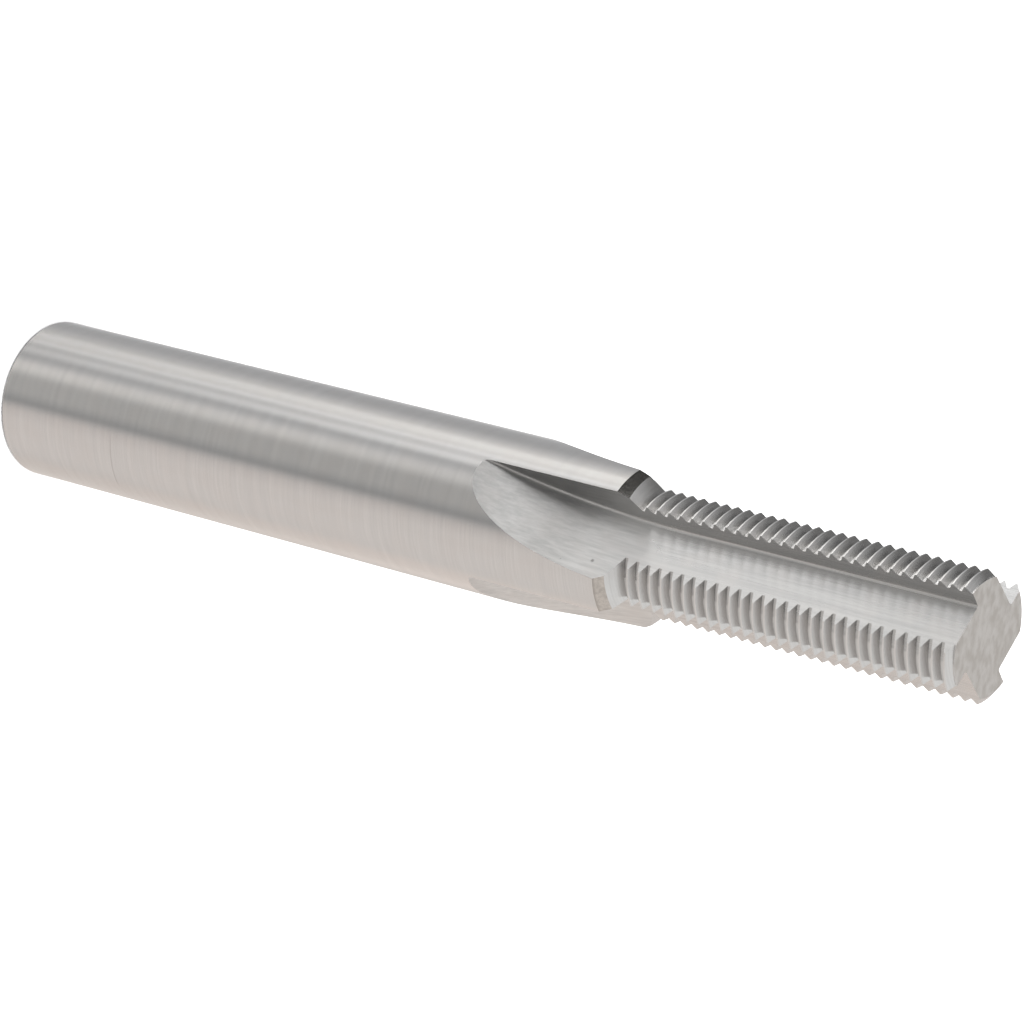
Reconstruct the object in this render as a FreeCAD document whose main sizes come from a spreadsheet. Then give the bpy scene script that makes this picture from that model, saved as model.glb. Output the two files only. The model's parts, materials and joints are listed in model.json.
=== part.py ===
import FreeCAD, Part
import Sketcher
import PartDesign
import math
import os

# Solid straight-flute thread mill, one piece of ground carbide.
# Frame: Z runs along the tool from the flat end of the shank (z = 0) to the
# cutting end.  X points at the cutting edge of the first land, so each land
# lies just clockwise of an axis, seen from the cutting end.

V = FreeCAD.Vector

doc = FreeCAD.newDocument("ThreadMill")

# ---------------------------------------------------------------- dimensions
sheet = doc.addObject("Spreadsheet::Sheet", "Dimensions")
sheet.Label = "Dimensions"
ROWS = [
    ("overall_length", 88.9, "shank end to cutting end"),
    ("shank_dia", 12.7, "plain ground shank"),
    ("rear_chamfer", 0.2, "broken edge of the shank end"),
    ("shoulder_pos", 59.2, "where the full shank diameter ends"),
    ("shoulder_angle", 30.0, "sintered shoulder, half angle"),
    ("blank_head_dia", 10.9, "sintered head before the teeth are ground"),
    ("land_count", 4, "cutting lands and flutes"),
    ("cutting_dia", 10.4, "over the tooth crests at the cutting edges"),
    ("pitch", 1.0, "tooth spacing, rings without lead"),
    ("tooth_count", 28, "teeth on each land"),
    ("tooth_depth", 0.55, "crest to root"),
    ("crest_flat", 0.12, "width of the tooth crest"),
    ("flank_angle", 30.0, "each flank from the plane square to the axis"),
    ("relief_offset", 0.36, "centre of the land arc off the tool axis"),
    ("relief_sector", 50.0, "angle swept by the relief grinding"),
    ("rake_angle", 3.0, "hook of the cutting face"),
    ("corner_depth", 3.26, "flute corner, along the cutting face"),
    ("flute_end", 64.8, "end of the straight part of the flute"),
    ("wheel_radius", 52.5, "run-out arc of the flute"),
    ("wheel_taper", 3.0, "long flute face beyond square to the cutting face"),
    ("wheel_swivel", 12.5, "skew of the run-out along the tool"),
    ("flute_reach", 8.0, "outer side of the flute profile"),
    ("flute_width", 7.0, "flute profile, square to the cutting face"),
    ("corner_radius", 0.2, "round in the flute corner"),
]
for n, (alias, value, note) in enumerate(ROWS, start=1):
    sheet.set("A%d" % n, alias)
    sheet.set("B%d" % n, "%g" % value)
    sheet.setAlias("B%d" % n, alias)
    sheet.set("C%d" % n, note)
doc.recompute()


def val(alias):
    return float(sheet.get(alias))


S = "Dimensions."

# ---------------------------------------------------------------------- body
body = doc.addObject("PartDesign::Body", "ThreadMill")
body.Label = "thread_mill"
body.Placement = FreeCAD.Placement()


def origin(role):
    for f in body.Origin.OriginFeatures:
        if f.Role == role:
            return f
    raise RuntimeError(role)


def new_sketch(name, offset=None):
    sk = body.newObject("Sketcher::SketchObject", name)
    sk.AttachmentSupport = [(origin("XZ_Plane"), "")]
    sk.MapMode = "FlatFace"
    if offset is not None:
        sk.AttachmentOffset = offset
    return sk


def polyline(sk, pts):
    """Closed chain of lines; returns the line indexes."""
    ids = []
    for i, p in enumerate(pts):
        a, b = p, pts[(i + 1) % len(pts)]
        ids.append(sk.addGeometry(
            Part.LineSegment(V(a[0], a[1], 0), V(b[0], b[1], 0)), False))
    for i in range(len(ids)):
        sk.addConstraint(Sketcher.Constraint(
            "Coincident", ids[i], 2, ids[(i + 1) % len(ids)], 1))
    return ids


def fix_point(sk, geo, end, x, z, ex, ez):
    """Distance of a point from the sketch origin, bound to the sheet."""
    for kind, value, expr in (("DistanceX", x, ex), ("DistanceY", z, ez)):
        if expr == "0":
            # the point lies on the axis
            sk.addConstraint(Sketcher.Constraint(
                "PointOnObject", geo, end, -2 if kind == "DistanceX" else -1))
            continue
        c = sk.addConstraint(Sketcher.Constraint(kind, -1, 1, geo, end, value))
        sk.setExpression("Constraints[%d]" % c, expr)


def profile(sk, pts):
    """pts: (x, z, x expression, z expression) of a closed polygon."""
    ids = polyline(sk, [(p[0], p[1]) for p in pts])
    for i, p in enumerate(pts):
        fix_point(sk, ids[i], 1, p[0], p[1], p[2], p[3])
    return ids


def volume():
    doc.recompute()
    return body.Shape.Volume


# --------------------------------------------------------------- turned blank
# Shank, short sintered shoulder and the head that the teeth are ground from.
rs = val("shank_dia") / 2
rc = val("rear_chamfer")
rh = val("blank_head_dia") / 2
zs = val("shoulder_pos")
zl = val("overall_length")
sa = math.radians(val("shoulder_angle"))
zh = zs + (rs - rh) / math.tan(sa)
eh = S + "shoulder_pos + (" + S + "shank_dia - " + S + "blank_head_dia) / 2 / tan(" + S + "shoulder_angle * 1deg)"
sk_blank = new_sketch("BlankProfile")
profile(sk_blank, [
    (0, 0, "0", "0"),
    (rs - rc, 0, S + "shank_dia / 2 - " + S + "rear_chamfer", "0"),
    (rs, rc, S + "shank_dia / 2", S + "rear_chamfer"),
    (rs, zs, S + "shank_dia / 2", S + "shoulder_pos"),
    (rh, zh, S + "blank_head_dia / 2", eh),
    (rh, zl, S + "blank_head_dia / 2", S + "overall_length"),
    (0, zl, "0", S + "overall_length"),
])
blank = body.newObject("PartDesign::Revolution", "Blank")
blank.Profile = sk_blank
blank.ReferenceAxis = (sk_blank, ["V_Axis"])
blank.Angle = 360.0
v_blank = volume()

# --------------------------------------------------------------------- flutes
# The profile lies in the cutting face, which leans by the rake angle about
# the cutting edge.  Its inner side is the flute corner: straight from the
# cutting end, then the arc of the wheel where it lifts out into the shank.
# The profile is swept away from the cutting face; the sweep leans inwards by
# the wheel taper, which makes the long flute face, and back along the tool by
# the swivel, which skews the run-out.
ra = math.radians(val("rake_angle"))
ta = math.radians(val("wheel_taper"))
sw = math.radians(val("wheel_swivel"))
rt = val("cutting_dia") / 2
cd = val("corner_depth")
fe = val("flute_end")
wr = val("wheel_radius")
fr = val("flute_reach")
sk_flute = new_sketch("FluteProfile", FreeCAD.Placement(
    V(rt * math.sin(ra) ** 2, 0, rt * math.sin(ra) * math.cos(ra)),
    FreeCAD.Rotation(V(0, 1, 0), val("rake_angle"))))
sk_flute.setExpression("AttachmentOffset.Base.x",
                       S + "cutting_dia / 2 * sin(" + S + "rake_angle * 1deg)^2")
sk_flute.setExpression("AttachmentOffset.Base.z",
                       S + "cutting_dia / 2 * sin(" + S + "rake_angle * 1deg) * cos(" + S + "rake_angle * 1deg)")
sk_flute.setExpression("AttachmentOffset.Rotation.Angle", S + "rake_angle * 1deg")
ztop = zl + 6
zarc = fe - math.sqrt(wr ** 2 - (wr - (fr - cd)) ** 2)
g_in = sk_flute.addGeometry(Part.LineSegment(V(cd, fe, 0), V(cd, ztop, 0)), False)
g_top = sk_flute.addGeometry(Part.LineSegment(V(cd, ztop, 0), V(fr, ztop, 0)), False)
g_out = sk_flute.addGeometry(Part.LineSegment(V(fr, ztop, 0), V(fr, zarc, 0)), False)
a0 = math.atan2(zarc - fe, fr - (cd + wr))
if a0 < 0:
    a0 += 2 * math.pi
g_arc = sk_flute.addGeometry(
    Part.ArcOfCircle(Part.Circle(V(cd + wr, fe, 0), V(0, 0, 1), wr), math.pi, a0), False)
for c in (("Coincident", g_in, 2, g_top, 1), ("Coincident", g_top, 2, g_out, 1),
          ("Coincident", g_out, 2, g_arc, 2), ("Coincident", g_arc, 1, g_in, 1),
          ("Vertical", g_in), ("Horizontal", g_top), ("Vertical", g_out)):
    sk_flute.addConstraint(Sketcher.Constraint(*c))
# centre of the arc level with the end of the straight part: tangent there
sk_flute.addConstraint(Sketcher.Constraint("Horizontal", g_arc, 3, g_in, 1))
fix_point(sk_flute, g_in, 1, cd, fe, S + "corner_depth", S + "flute_end")
c = sk_flute.addConstraint(Sketcher.Constraint("Radius", g_arc, wr))
sk_flute.setExpression("Constraints[%d]" % c, S + "wheel_radius")
c = sk_flute.addConstraint(Sketcher.Constraint("DistanceX", -1, 1, g_out, 1, fr))
sk_flute.setExpression("Constraints[%d]" % c, S + "flute_reach")
c = sk_flute.addConstraint(Sketcher.Constraint("DistanceY", -1, 1, g_top, 1, ztop))
sk_flute.setExpression("Constraints[%d]" % c, S + "overall_length + 6")

flute = body.newObject("PartDesign::Pocket", "Flute")
flute.Profile = sk_flute
flute.Type = "Length"
flute.UseCustomVector = True
flute.AlongSketchNormal = True
flute.Direction = V(-(math.tan(ta) * math.cos(ra) + math.sin(ra)),
                    math.cos(ra) - math.tan(ta) * math.sin(ra),
                    -math.tan(sw))
R1 = "(" + S + "rake_angle * 1deg)"
T1 = "(" + S + "wheel_taper * 1deg)"
flute.setExpression("Direction.x", "-(tan" + T1 + " * cos" + R1 + " + sin" + R1 + ")")
flute.setExpression("Direction.y", "cos" + R1 + " - tan" + T1 + " * sin" + R1)
flute.setExpression("Direction.z", "-tan(" + S + "wheel_swivel * 1deg)")
flute.setExpression("Length", S + "flute_width")
flute.Reversed = False
v_one = volume()
print("flute, one:", round(v_blank - v_one, 2), flute.State, flute.Direction)

flutes = body.newObject("PartDesign::PolarPattern", "Flutes")
flutes.Originals = [flute]
flutes.Axis = (sk_blank, ["V_Axis"])
flutes.Angle = 360.0
flutes.Occurrences = int(val("land_count"))
flutes.setExpression("Occurrences", S + "land_count")
body.Tip = flutes
v_flutes = volume()
print("flutes:", round(v_blank - v_flutes, 2), flutes.State)

# Small round left by the wheel in each flute corner.
nx, ny = -math.sin(ra), math.cos(ra)
dist = -rt * math.sin(ra)


def corner_edges(shape):
    """Edges that lie in a cutting face along its inner side."""
    found = []
    for i, e in enumerate(shape.Edges, start=1):
        if e.Length < 3:
            continue
        us = [e.FirstParameter + f * (e.LastParameter - e.FirstParameter)
              for f in (0.0, 0.3, 0.5, 0.8, 1.0)]
        ps = [e.valueAt(u) for u in us]
        for k in range(int(val("land_count"))):
            a = -2 * math.pi * k / val("land_count")
            q = [V(p.x * math.cos(a) - p.y * math.sin(a),
                   p.x * math.sin(a) + p.y * math.cos(a), p.z) for p in ps]
            if not all(abs(p.x * nx + p.y * ny - dist) < 1e-4 and p.x > 0 for p in q):
                continue
            depth = [p.x * math.cos(ra) + p.y * math.sin(ra) for p in q]
            on = []
            for p, d in zip(q, depth):
                want = cd
                if p.z < fe:
                    want = cd + wr - math.sqrt(wr ** 2 - (fe - p.z) ** 2)
                on.append(abs(d - want) < 1e-3)
            if all(on):
                found.append("Edge%d" % i)
    return found


edges = corner_edges(body.Shape)
print("corner edges:", edges)
corner = body.newObject("PartDesign::Fillet", "FluteCorners")
corner.Base = (flutes, edges)
corner.Radius = val("corner_radius")
corner.setExpression("Radius", S + "corner_radius")
body.Tip = corner
v_corner = volume()
print("corner rounds:", round(v_corner - v_flutes, 3), corner.State)

# ------------------------------------------------------- relief of the lands
# Each land is ground about an axis set off from the tool axis, so it falls
# away behind its cutting edge.  The profile takes the first tooth space with
# it: its lower side is the flank that also forms the shoulder between the
# sintered band and the first root, in one unbroken surface.
eo = val("relief_offset")
rho = math.sqrt(rt ** 2 + eo ** 2)
td = val("tooth_depth")
pi_ = val("pitch")
cf = val("crest_flat")
fa = math.radians(val("flank_angle"))
nt = int(val("tooth_count"))
RHO = "sqrt((" + S + "cutting_dia / 2)^2 + " + S + "relief_offset^2)"
TF = "tan(" + S + "flank_angle * 1deg)"
root_half = (pi_ - cf - 2 * td * math.tan(fa)) / 2
RH = "((" + S + "pitch - " + S + "crest_flat - 2 * " + S + "tooth_depth * " + TF + ") / 2)"
z_first = zl - nt * pi_            # middle of the first root
ZF = "(" + S + "overall_length - " + S + "tooth_count * " + S + "pitch)"
off = FreeCAD.Placement(V(0, 0, -eo), FreeCAD.Rotation())
sk_relief = new_sketch("ReliefProfile", off)
sk_relief.setExpression("AttachmentOffset.Base.z", "-" + S + "relief_offset")
DEEP = RHO + " - " + S + "tooth_depth"
z1 = z_first + root_half + td * math.tan(fa)
Z1 = ZF + " + " + RH + " + " + S + "tooth_depth * " + TF
z2 = z_first - root_half - (fr - rho + td) * math.tan(fa)
Z2 = ZF + " - " + RH + " - (" + S + "flute_reach - " + RHO + " + " + S + "tooth_depth) * " + TF
profile(sk_relief, [
    (rho - td, z_first - root_half, DEEP, ZF + " - " + RH),
    (rho - td, z_first + root_half, DEEP, ZF + " + " + RH),
    (rho, z1, RHO, Z1),
    (rho, zl + 1, RHO, S + "overall_length + 1"),
    (fr, zl + 1, S + "flute_reach", S + "overall_length + 1"),
    (fr, z2, S + "flute_reach", Z2),
])
relief = body.newObject("PartDesign::Groove", "Relief")
relief.Profile = sk_relief
relief.ReferenceAxis = (sk_relief, ["V_Axis"])
relief.Reversed = True
relief.setExpression("Angle", S + "relief_sector")
v1 = volume()
print("relief, one:", round(v_corner - v1, 3), relief.State)
reliefs = body.newObject("PartDesign::PolarPattern", "Reliefs")
reliefs.Originals = [relief]
reliefs.Axis = (sk_blank, ["V_Axis"])
reliefs.Angle = 360.0
reliefs.setExpression("Occurrences", S + "land_count")
body.Tip = reliefs
v_relief = volume()
print("reliefs:", round(v_corner - v_relief, 3), reliefs.State)

# ---------------------------------------------------------------------- teeth
# One more tooth space, repeated along the tool and round the lands.  The last
# one opens onto the cutting end.
over = 0.08                        # the wheel's flanks run out past the crest
sk_tooth = new_sketch("ToothSpace", off)
sk_tooth.setExpression("AttachmentOffset.Base.z", "-" + S + "relief_offset")
w0 = root_half
z_next = z_first + pi_
ZN = "(" + ZF + " + " + S + "pitch)"
w1 = root_half + (td + over) * math.tan(fa)
W1 = "(" + RH + " + (" + S + "tooth_depth + %g) * " % over + TF + ")"
profile(sk_tooth, [
    (rho - td, z_next - w0, DEEP, ZN + " - " + RH),
    (rho - td, z_next + w0, DEEP, ZN + " + " + RH),
    (rho + over, z_next + w1, RHO + " + %g" % over, ZN + " + " + W1),
    (rho + over, z_next - w1, RHO + " + %g" % over, ZN + " - " + W1),
])
tooth = body.newObject("PartDesign::Groove", "ToothSpaceCut")
tooth.Profile = sk_tooth
tooth.ReferenceAxis = (sk_tooth, ["V_Axis"])
tooth.Reversed = True
tooth.setExpression("Angle", S + "relief_sector")
v2 = volume()
print("tooth space, one:", round(v_relief - v2, 4), tooth.State)

teeth = body.newObject("PartDesign::MultiTransform", "Teeth")
teeth.Originals = [tooth]
along = body.newObject("PartDesign::LinearPattern", "AlongTool")
along.Direction = (sk_blank, ["V_Axis"])
along.Length = (nt - 1) * pi_
along.Occurrences = nt
along.setExpression("Length", "(" + S + "tooth_count - 1) * " + S + "pitch")
along.setExpression("Occurrences", S + "tooth_count")
around = body.newObject("PartDesign::PolarPattern", "RoundLands")
around.Axis = (sk_blank, ["V_Axis"])
around.Angle = 360.0
around.setExpression("Occurrences", S + "land_count")
teeth.Transformations = [along, around]
body.Tip = teeth
v3 = volume()
print("tooth spaces:", round(v_relief - v3, 3), teeth.State)

# --------------------------------------------------------------------- checks
doc.recompute()
for obj in doc.Objects:
    bad = [w for w in obj.State if w in ("Invalid", "Error")]
    if bad:
        raise RuntimeError("%s: %s" % (obj.Name, obj.State))
shape = body.Shape
if shape.isNull() or not shape.isValid():
    raise RuntimeError("thread_mill shape")
if len(shape.Solids) != 1:
    raise RuntimeError("thread_mill is %d solids" % len(shape.Solids))
box = shape.BoundBox
print("thread_mill volume %.2f mm3, faces %d, box %s" % (shape.Volume, len(shape.Faces), box))

os.makedirs("parts", exist_ok=True)
shape.exportStep(os.path.join("parts", body.Label + ".step"))
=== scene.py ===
import json
import math

import bpy
from mathutils import Matrix, Vector

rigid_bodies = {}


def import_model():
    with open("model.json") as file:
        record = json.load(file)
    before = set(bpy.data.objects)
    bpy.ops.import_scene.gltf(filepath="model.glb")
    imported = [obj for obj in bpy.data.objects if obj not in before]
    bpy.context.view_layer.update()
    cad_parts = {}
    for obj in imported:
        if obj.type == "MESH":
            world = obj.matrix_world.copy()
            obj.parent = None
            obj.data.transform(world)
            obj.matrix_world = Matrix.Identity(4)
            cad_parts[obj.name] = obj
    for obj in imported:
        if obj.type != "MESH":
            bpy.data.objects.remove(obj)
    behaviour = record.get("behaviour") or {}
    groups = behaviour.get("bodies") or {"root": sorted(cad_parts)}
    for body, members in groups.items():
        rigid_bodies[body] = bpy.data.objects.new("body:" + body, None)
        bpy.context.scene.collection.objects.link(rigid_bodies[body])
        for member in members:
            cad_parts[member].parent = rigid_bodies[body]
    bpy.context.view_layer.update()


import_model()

# A solid carbide thread mill, standing on the end of its shank: plain ground
# shank, four straight flutes that run out in it, 28 rings of teeth on four lands.
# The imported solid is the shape; this file gives it its finish, floor and light.
tool = next(o for o in bpy.data.objects if o.type == "MESH" and o.name.startswith("thread_mill"))


# ------------------------------------------------------------------ node helpers
class Tree:
    def __init__(self, tree):
        self.tree = tree
        tree.nodes.clear()

    def node(self, kind, **settings):
        n = self.tree.nodes.new(kind)
        for k, v in settings.items():
            setattr(n, k, v)
        return n

    def put(self, socket, value):
        if isinstance(value, bpy.types.NodeSocket):
            self.tree.links.new(value, socket)
        elif value is not None:
            socket.default_value = value

    def math(self, op, a, b=None, c=None):
        n = self.node("ShaderNodeMath", operation=op)
        for s, v in zip(n.inputs, (a, b, c)):
            self.put(s, v)
        return n.outputs[0]

    def add(self, a, b): return self.math("ADD", a, b)
    def sub(self, a, b): return self.math("SUBTRACT", a, b)
    def mul(self, a, b): return self.math("MULTIPLY", a, b)

    def vec(self, op, a, b=None, scale=None):
        n = self.node("ShaderNodeVectorMath", operation=op)
        self.put(n.inputs[0], a)
        if b is not None:
            self.put(n.inputs[1], b)
        if scale is not None:
            self.put(n.inputs["Scale"], scale)
        return n.outputs["Value"] if op in ("DOT_PRODUCT", "LENGTH") else n.outputs["Vector"]

    def xyz(self, v):
        n = self.node("ShaderNodeSeparateXYZ")
        self.put(n.inputs[0], v)
        return n.outputs[0], n.outputs[1], n.outputs[2]

    def join(self, x, y, z):
        n = self.node("ShaderNodeCombineXYZ")
        for s, v in zip(n.inputs, (x, y, z)):
            self.put(s, v)
        return n.outputs[0]

    def above(self, v, edge): return self.math("GREATER_THAN", v, edge)
    def below(self, v, edge): return self.math("LESS_THAN", v, edge)

    def ease(self, v, lo, hi, out0=0.0, out1=1.0):
        n = self.node("ShaderNodeMapRange", interpolation_type="SMOOTHSTEP")
        for s, x in zip(n.inputs, (v, lo, hi, out0, out1)):
            self.put(s, x)
        return n.outputs[0]

    def mix(self, f, a, b):
        """Mix of two numbers."""
        n = self.node("ShaderNodeMix", data_type="FLOAT")
        self.put(n.inputs[0], f); self.put(n.inputs[2], a); self.put(n.inputs[3], b)
        return n.outputs[0]

    def blend(self, f, a, b, kind="MIX"):
        """Mix of two colours."""
        n = self.node("ShaderNodeMix", data_type="RGBA", blend_type=kind)
        self.put(n.inputs[0], f); self.put(n.inputs[6], col(a)); self.put(n.inputs[7], col(b))
        return n.outputs[2]

    def steer(self, f, a, b):
        """Mix of two vectors."""
        n = self.node("ShaderNodeMix", data_type="VECTOR")
        self.put(n.inputs[0], f); self.put(n.inputs[4], a); self.put(n.inputs[5], b)
        return n.outputs[1]

    def noise(self, v, scale=1.0, detail=2.0, rough=0.5, dist=0.0):
        n = self.node("ShaderNodeTexNoise", noise_dimensions="3D")
        self.put(n.inputs["Vector"], v)
        self.put(n.inputs["Scale"], scale); self.put(n.inputs["Detail"], detail)
        self.put(n.inputs["Roughness"], rough); self.put(n.inputs["Distortion"], dist)
        return n.outputs["Fac"]

    def ramp(self, f, stops, kind="LINEAR"):
        n = self.node("ShaderNodeValToRGB")
        n.color_ramp.interpolation = kind
        els = n.color_ramp.elements
        els[0].position, els[0].color = stops[0][0], col(stops[0][1])
        els[1].position, els[1].color = stops[-1][0], col(stops[-1][1])
        for p, c in stops[1:-1]:
            e = els.new(p)
            e.color = col(c)
        self.put(n.inputs[0], f)
        return n.outputs[0]


def col(c):
    if isinstance(c, (int, float)):
        return (c, c, c, 1.0)
    if isinstance(c, tuple) and len(c) == 3:
        return (*c, 1.0)
    return c


# --------------------------------------------------------------------- carbide
mat = bpy.data.materials.new("ground_carbide")
mat.use_nodes = True
t = Tree(mat.node_tree)
here = t.vec("SCALE", t.node("ShaderNodeTexCoord").outputs["Object"], scale=1000.0)   # mm
x, y, z = t.xyz(here)
r = t.vec("LENGTH", t.join(x, y, 0.0))
normal = t.node("ShaderNodeNewGeometry").outputs["Normal"]
nx, ny, nz = t.xyz(normal)
lean = t.math("ABSOLUTE", nz)
turn = t.math("FLOORED_MODULO", t.math("ARCTAN2", ny, nx), math.pi / 2)    # 0..90 degrees

# which surface a point is on
on_end = t.mul(t.above(nz, 0.98), t.above(z, 88.0))
on_back = t.below(nz, -0.98)
on_shank = t.mul(t.math("MAXIMUM", t.above(r, 6.335), t.below(z, 0.21)), t.mul(t.below(z, 59.205), t.below(lean, 0.98)))
on_cone = t.mul(t.above(z, 59.19), t.mul(t.above(nz, 0.42), t.below(nz, 0.6)))
radial = t.mul(t.above(turn, math.radians(40)), t.below(turn, math.radians(88.5)))
on_land = t.mul(t.mul(t.above(z, 59.9), t.above(r, 4.5)),
                t.math("MAXIMUM", t.mul(t.above(lean, 0.8), t.below(nz, 0.98)), t.mul(radial, t.below(lean, 0.1))))
on_rake = t.mul(t.mul(t.below(r, 6.34), t.below(lean, 0.01)),
                t.below(t.math("ABSOLUTE", t.sub(turn, math.radians(3.0))), math.radians(0.7)))
round_ = t.math("MINIMUM", t.add(t.add(on_shank, on_land), on_cone), 1.0)             # worked round the axis
flat = t.math("MAXIMUM", on_end, on_back)
on_flute = t.sub(1.0, t.math("MINIMUM", t.add(t.add(round_, flat), on_rake), 1.0))

# grinding lines: round the tool, along the flutes
hoop = t.join(t.add(z, t.mul(r, 2.6)), t.mul(x, 0.02), t.mul(y, 0.02))
along = t.join(x, y, t.mul(z, 0.02))
grind = t.steer(on_land, t.steer(round_, along, hoop), t.vec("SCALE", hoop, scale=0.36))
fine = t.noise(grind, 10.0, 2.0, 0.6)
broad = t.noise(grind, 1.3, 1.0, 0.5)
streak = t.noise(grind, 3.6, 3.0, 0.65)
grain = t.noise(here, 14.0, 2.0, 0.6)
cloud = t.noise(here, 0.55, 1.0, 0.5)
lap = t.join(t.add(t.mul(x, 0.45), t.mul(y, -0.47)), t.add(t.mul(x, 0.76), t.mul(y, 0.73)), z)
blotch = t.noise(lap, 1.6, 2.0, 0.55)

# marks: a faint scored arc round the shank; two small pits beside a flute, real marks whose hollows are not modelled,
# painted near black as painted shade
round_deg = t.mul(t.math("ARCTAN2", y, x), 180 / math.pi)
from_arc = t.sub(round_deg, 53.7)
arc = t.add(t.sub(z, 11.92), t.mul(t.mul(from_arc, from_arc), 0.0002))
scored = t.mul(t.ease(t.math("ABSOLUTE", arc), 0.03, 0.09, 1.0, 0.0),
               t.mul(on_shank, t.ease(t.math("ABSOLUTE", t.sub(round_deg, 74.0)), 14.0, 26.0, 0.35, 0.0)))
pit_shade = 0.0
for px, py, pz, pr in ((3.09, 4.28, 58.46, 0.20), (3.29, 4.97, 56.07, 0.08), (2.75, 5.05, 58.9, 0.10)):
    gap = t.vec("LENGTH", t.vec("SUBTRACT", here, (px, py, pz)))
    pit_shade = t.math("MAXIMUM", pit_shade, t.ease(t.add(gap, t.mul(grain, 0.1)), pr * 0.5, pr + 0.05, 0.65, 0.0))

lines = t.ease(fine, 0.2, 0.8)
shank_tone = t.blend(t.ease(broad, 0.3, 0.7, 0.0, 0.35), t.blend(lines, (0.458, 0.451, 0.444), (0.496, 0.489, 0.481)), (0.455, 0.45, 0.446))
runout = t.ease(z, 58.0, 64.0, 1.0, 0.0)
flute_tone = t.blend(t.ease(streak, 0.25, 0.75), t.blend(runout, (0.387, 0.385, 0.381), (0.419, 0.416, 0.411)), t.blend(runout, (0.452, 0.449, 0.443), (0.537, 0.532, 0.524)))
ground = t.blend(t.math("MAXIMUM", on_shank, on_cone), flute_tone, shank_tone)
ground = t.blend(on_land, ground, t.blend(lines, (0.468, 0.464, 0.46), (0.532, 0.528, 0.523)))
ground = t.blend(t.ease(cloud, 0.35, 0.7, 0.0, 0.3), ground, (0.47, 0.452, 0.438))
mottle = t.noise(here, 3.2, 2.0, 0.6)
sinter = t.blend(t.ease(mottle, 0.25, 0.75), (0.375, 0.364, 0.345), (0.475, 0.46, 0.435))
edge = t.math("MAXIMUM", t.math("MAXIMUM", t.ease(z, 59.20, 59.42, 1.0, 0.0), t.ease(z, 60.55, 60.70)), t.ease(t.math("ABSOLUTE", t.sub(cloud, 0.5)), 0.0, 0.02, 0.35, 0.0))
sinter = t.blend(t.mul(edge, 0.55), sinter, (0.25, 0.24, 0.225))
face = t.blend(t.ease(blotch, 0.28, 0.72), (0.55, 0.525, 0.495), (0.655, 0.637, 0.615))
rake = t.blend(lines, (0.47, 0.468, 0.465), (0.56, 0.558, 0.555))
colour = t.blend(on_rake, ground, rake)
colour = t.blend(flat, colour, face)
colour = t.blend(on_cone, colour, sinter)
colour = t.blend(scored, colour, (0.30, 0.285, 0.275))
# painted shade: the pits' unmodelled hollows darkened near black
colour = t.blend(pit_shade, colour, (0.12, 0.115, 0.11))

rough = t.add(0.23, t.mul(t.sub(broad, 0.5), 0.06))
rough = t.mix(on_land, rough, 0.23)
rough = t.mix(on_flute, rough, t.add(t.mix(runout, 0.27, 0.31), t.mul(t.sub(broad, 0.5), 0.05)))
rough = t.mix(on_rake, rough, 0.15)
rough = t.mix(flat, rough, t.ease(blotch, 0.3, 0.7, 0.44, 0.40))
rough = t.mix(on_cone, rough, 0.17)

steady = t.steer(on_shank, normal, t.vec("NORMALIZE", t.join(x, y, 0.0)))
steady = t.steer(t.above(0.21, z), steady, normal)
bump = t.node("ShaderNodeBump")
height = t.mul(fine, t.sub(1.0, t.math("MINIMUM", t.add(t.add(flat, on_cone), t.mul(t.add(on_flute, on_shank), 0.55)), 1.0)))
height = t.add(height, t.mul(grain, t.math("MINIMUM", t.add(t.mul(flat, 0.4), t.mul(on_cone, 2.0)), 2.0)))
t.put(bump.inputs["Height"], height)
bump.inputs["Strength"].default_value = 1.0
bump.inputs["Distance"].default_value = 0.0000010
t.put(bump.inputs["Normal"], steady)

side = t.vec("CROSS_PRODUCT", normal, (0.0, 0.0, 1.0))
stretch = t.steer(t.math("MAXIMUM", on_flute, on_rake), (0.0, 0.0, 1.0), side)

bsdf = t.node("ShaderNodeBsdfPrincipled")
t.put(bsdf.inputs["Base Color"], colour)
t.put(bsdf.inputs["Roughness"], rough)
t.put(bsdf.inputs["Normal"], bump.outputs[0])
t.put(bsdf.inputs["Tangent"], stretch)
bsdf.inputs["Metallic"].default_value = 1.0
bsdf.inputs["Anisotropic"].default_value = 1.0
out = t.node("ShaderNodeOutputMaterial")
t.put(out.inputs["Surface"], bsdf.outputs[0])
for s in tool.material_slots:
    s.material = mat

# ------------------------------------------------------------- floor and light
bpy.ops.mesh.primitive_plane_add(size=6.0, location=(0, 0, 0))
floor = bpy.context.object
floor.name = "floor"
pale = bpy.data.materials.new("pale_floor")
pale.use_nodes = True
t = Tree(pale.node_tree)
bsdf = t.node("ShaderNodeBsdfDiffuse")
bsdf.inputs["Color"].default_value = (0.81, 0.81, 0.81, 1.0)
out = t.node("ShaderNodeOutputMaterial")
t.put(out.inputs["Surface"], bsdf.outputs[0])
floor.data.materials.append(pale)
floor.visible_glossy = False               # the metal mirrors the studio's lower half instead

# a wide soft box over the floor keeps it white up to the foot of the tool
box = bpy.data.lights.new("soft_box", "AREA")
box.shape = "DISK"
box.size = 1.6
box.energy = 30.0
over = bpy.data.objects.new("soft_box", box)
bpy.context.scene.collection.objects.link(over)
over.location = (0.0, 0.0, 1.2)
over.visible_glossy = False

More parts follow.
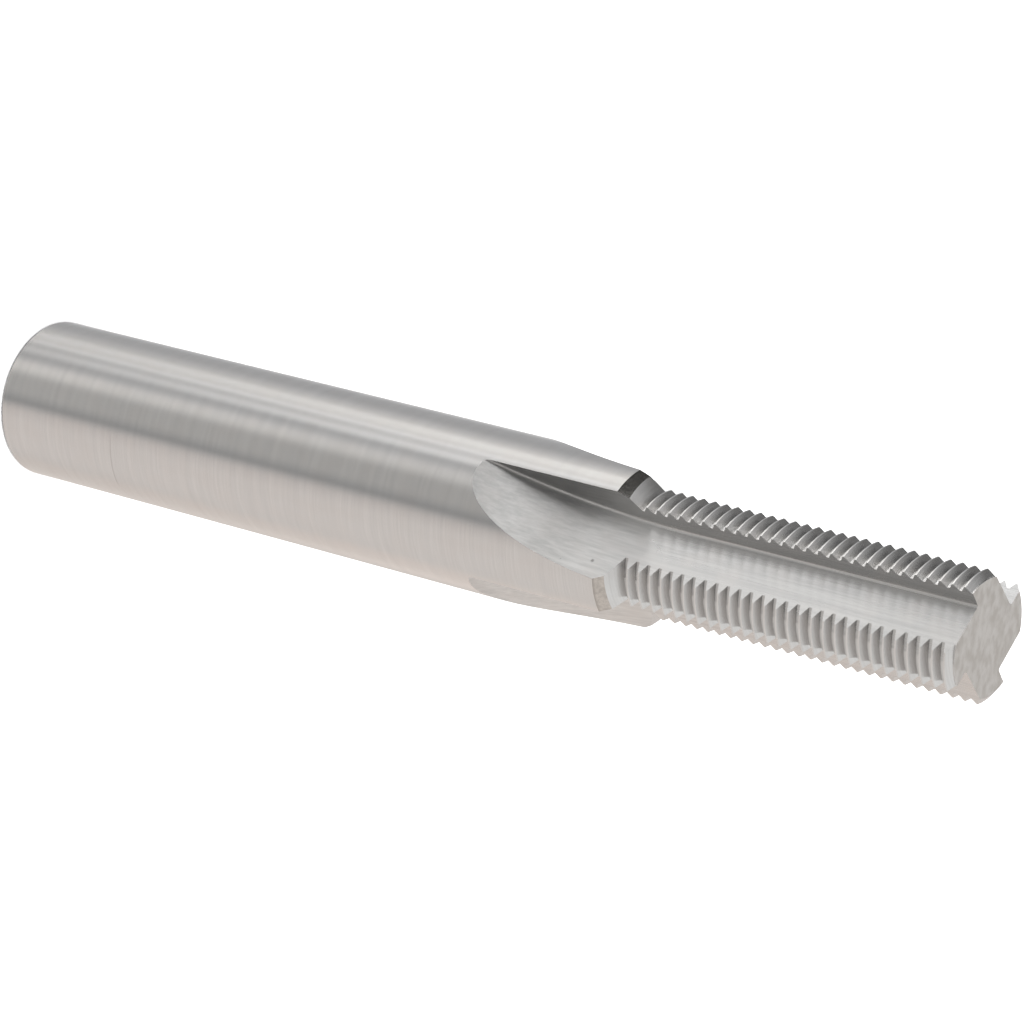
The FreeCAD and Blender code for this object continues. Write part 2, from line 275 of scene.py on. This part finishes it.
world = bpy.data.worlds.new("studio")
bpy.context.scene.world = world
world.use_nodes = True
t = Tree(world.node_tree)
way = t.node("ShaderNodeTexCoord").outputs["Generated"]
wx, wy, wz = t.xyz(way)
turn = t.add(t.mul(t.math("ARCTAN2", wy, wx), 180 / math.pi), 46.3)        # degrees; the camera stands at 82
height = t.mul(t.math("ARCSINE", wz), 180 / math.pi)
front = t.join(t.sub(t.math("FLOORED_MODULO", t.add(turn, 180.0), 360.0), 180.0), height, 0.0)
rear = t.join(t.math("FLOORED_MODULO", turn, 360.0), height, 0.0)


def card(sky, az, el, wide, tall, level, edge=(12.0, 10.0)):
    """A soft-edged card or flag: centre, half sizes in degrees, brightness."""
    off = t.vec("ABSOLUTE", t.vec("SUBTRACT", rear if az + wide > 165 else front, (az, el, 0.0)))
    n = t.node("ShaderNodeMapRange", data_type="FLOAT_VECTOR", interpolation_type="SMOOTHSTEP")
    t.put(n.inputs[6], off)
    n.inputs[7].default_value = (wide - edge[0] / 2, tall - edge[1] / 2, 0.0)
    n.inputs[8].default_value = (wide + edge[0] / 2, tall + edge[1] / 2, 1.0)
    n.inputs[9].default_value = (1.0, 1.0, 1.0)
    n.inputs[10].default_value = (0.0, 0.0, 0.0)
    a, b, _ = t.xyz(n.outputs[1])
    return t.blend(t.mul(a, b), sky, level)


sky = t.blend(t.ease(height, -14.0, 6.0), 1.18, 0.97)
sky = card(sky, 185, 62, 50, 24, (1.26, 1.26, 1.25), (24, 16))
sky = card(sky, 182, 8, 78, 24, (1.06, 0.985, 0.935), (24, 20))            # warm wall to the right
sky = card(sky, 145, -23, 40, 9, (1.17, 1.15, 1.11), (20, 8))
sky = card(sky, 160, -13, 22, 6, (1.36, 1.33, 1.30), (12, 6))
sky = card(sky, 150, -48, 47, 18, (1.20, 1.11, 1.06), (24, 10))
sky = card(sky, 230, -46, 40, 32, (0.93, 0.868, 0.828), (20, 14))
sky = card(sky, 206, -26, 23, 11, (1.45, 1.30, 1.21), (14, 8))
sky = card(sky, -88, -45, 10.5, 34, 1.70, (7, 10))                         # white lower left edge
sky = card(sky, -53.5, -45, 24, 36, (0.705, 0.71, 0.72), (9, 10))          # grey lower left
sky = card(sky, -4, -54, 30, 16, (0.60, 0.60, 0.595), (18, 6))
sky = card(sky, 45, -54, 11, 12, (1.60, 1.55, 1.47), (12, 8))
sky = card(sky, 76, -45, 20, 26, (0.84, 0.83, 0.81), (18, 10))
sky = card(sky, 99, -45, 7, 26, 0.54, (18, 10))
sky = card(sky, 82, 5, 34, 26, 0.26, (20, 8))                              # dark room round the camera
sky = card(sky, 50, -2, 10, 13, 0.18, (8, 8))
sky = card(sky, 40, -6, 10, 12, 0.22, (8, 8))
sky = card(sky, -45, 26, 38, 22, 0.50, (20, 20))
sky = card(sky, -60, 24, 26, 12, 0.25, (20, 12))
sky = card(sky, -14, 9, 36, 18, 0.06, (16, 8))                             # black flag
sky = card(sky, 5, -22.5, 21, 13.5, (1.96, 1.93, 1.87), (10, 4))           # bright card
sky = card(sky, 17, -28, 12, 8.5, 2.35, (8, 4))
sky = card(sky, 19, -8, 9, 10, 2.9, (8, 6))
sky = card(sky, 19, -2.5, 9, 4.5, 3.7, (8, 5))
sky = card(sky, 16, -48, 11, 12, 0.14, (6, 4))
sky = card(sky, 27, -46, 7, 10.5, (0.70, 0.715, 0.73), (14, 5))
sky = card(sky, 15, -26.6, 4.5, 3.0, 0.45, (4, 2))
sky = card(sky, -1, -14.5, 6, 3.5, 6.5, (5, 4))
sky = card(sky, 6, 31, 15, 10, 0.10, (12, 10))
bg = t.node("ShaderNodeBackground")
t.put(bg.inputs["Color"], sky)
bg.inputs["Strength"].default_value = 1.0
out = t.node("ShaderNodeOutputWorld")
t.put(out.inputs["Surface"], bg.outputs[0])

# ---------------------------------------------------------------------- camera
# The tool's axes as the photograph shows them: right, down and away, lengths 1.
AXIS = Vector((0.79436556, 0.20412726, -0.57211486))
U = Vector((0.16563931, -0.97894436, -0.11929609))
V = Vector((-0.58442020, 0.0, -0.81145119))
SPIN = math.radians(46.3)
ex = math.cos(SPIN) * U + math.sin(SPIN) * V
ey = -math.sin(SPIN) * U + math.cos(SPIN) * V
ORIGIN = Vector((-0.03737820, -0.00933583, 0.34602471))   # foot of the tool, metres
flip = Matrix(((1, 0, 0), (0, -1, 0), (0, 0, -1)))
view = flip @ Matrix((ex, ey, AXIS)).transposed()
place = -(view.transposed() @ (flip @ ORIGIN))
cam_data = bpy.data.cameras.new("camera")
cam = bpy.data.objects.new("camera", cam_data)
bpy.context.scene.collection.objects.link(cam)
cam.matrix_world = Matrix.Translation(place) @ view.transposed().to_4x4()
cam_data.sensor_fit = "HORIZONTAL"
cam_data.sensor_width = 36.0
cam_data.lens = 148.738
cam_data.clip_start, cam_data.clip_end = 0.01, 20.0
bpy.context.scene.camera = cam
bpy.context.scene.view_settings.view_transform = "Standard"
